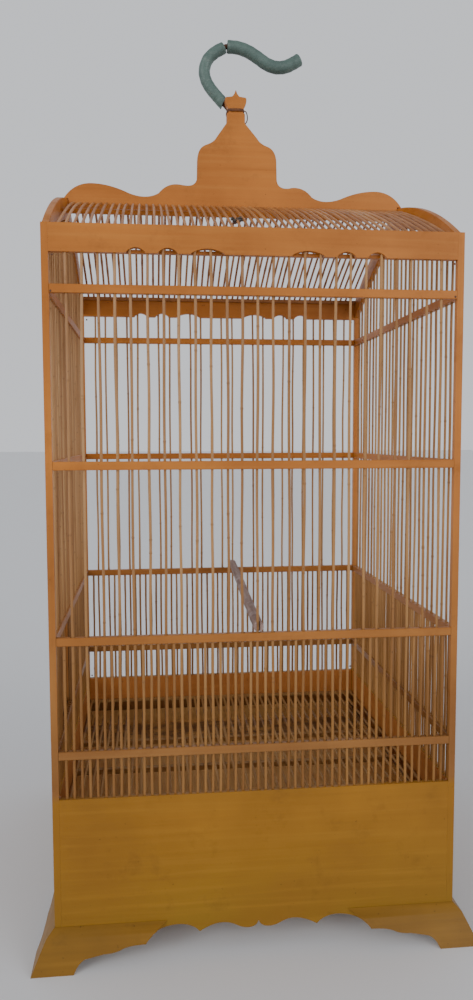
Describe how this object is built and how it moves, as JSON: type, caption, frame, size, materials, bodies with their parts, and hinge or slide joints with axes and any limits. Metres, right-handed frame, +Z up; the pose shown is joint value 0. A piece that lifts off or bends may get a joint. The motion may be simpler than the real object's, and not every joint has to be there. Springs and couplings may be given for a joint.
{
  "type": "bird cage",
  "caption": "Square barred bird cage on a footed wooden plinth, with a curved pitched roof, carved crest, hanging hook, slide-out tray and lift-up door.",
  "frame": {"origin": "middle of the ground plane under the four feet", "axes": "+Z up; -Y is the front wall; -X is the left wall, which has the door and the tray"},
  "size_m": [0.442, 0.442, 0.9733],
  "materials": {
    "frame_paint": "golden ochre gloss paint, worn",
    "bar_paint": "ochre gloss paint on bamboo",
    "plinth_paint": "darker ochre gloss paint",
    "tray_board": "thin stained board",
    "stick": "bare stick",
    "hose": "weathered garden hose",
    "iron": "rusty rod"
  },
  "bodies": {
    "cage": {"post_front_left": "frame_paint", "post_front_right": "frame_paint", "post_rear_left": "frame_paint", "post_rear_right": "frame_paint", "front_rail_1": "frame_paint", "front_rail_2": "frame_paint", "front_rail_3": "frame_paint", "front_rail_4": "frame_paint", "right_rail_1": "frame_paint", "right_rail_2": "frame_paint", "right_rail_3": "frame_paint", "right_rail_4": "frame_paint", "rear_rail_1": "frame_paint", "rear_rail_2": "frame_paint", "rear_rail_3": "frame_paint", "rear_rail_4": "frame_paint", "left_rail_1": "frame_paint", "left_rail_2": "frame_paint", "left_rail_3": "frame_paint", "left_rail_4": "frame_paint", "front_bars": "bar_paint", "rear_bars": "bar_paint", "right_bars": "bar_paint", "left_bars_rear": "bar_paint", "left_bars_front": "bar_paint", "left_bars_under_door": "bar_paint", "left_bars_over_door": "bar_paint", "front_frieze": "frame_paint", "rear_frieze": "frame_paint", "left_arch_board": "frame_paint", "right_arch_board": "frame_paint", "roof_bars_front": "bar_paint", "roof_bars_rear": "bar_paint", "front_purlin": "frame_paint", "rear_purlin": "frame_paint", "crest_board": "frame_paint", "front_plinth_board": "plinth_paint", "right_plinth_board": "plinth_paint", "rear_plinth_board": "plinth_paint", "left_plinth_board": "plinth_paint", "foot_front_left": "plinth_paint", "foot_front_right": "plinth_paint", "foot_rear_left": "plinth_paint", "foot_rear_right": "plinth_paint", "front_tray_runner": "frame_paint", "rear_tray_runner": "frame_paint", "floor_grille": "bar_paint", "door_guide_frame": "frame_paint", "perch": "stick", "hook_rod": "iron", "hook_hose_lower": "hose", "hook_hose_upper": "hose", "hook_lashing": "iron"},
    "tray": {"tray_box": "tray_board", "tray_face": "plinth_paint", "tray_knob": "frame_paint"},
    "door": {"door_panel": "bar_paint", "door_pull": "frame_paint"}
  },
  "joints": [
    {"name": "tray_slide", "type": "slide", "parent": "cage", "child": "tray", "axis": [-1, 0, 0], "range_m": [0, 0.36]},
    {"name": "door_slide", "type": "slide", "parent": "cage", "child": "door", "axis": [0, 0, 1], "range_m": [0, 0.105]}
  ]
}
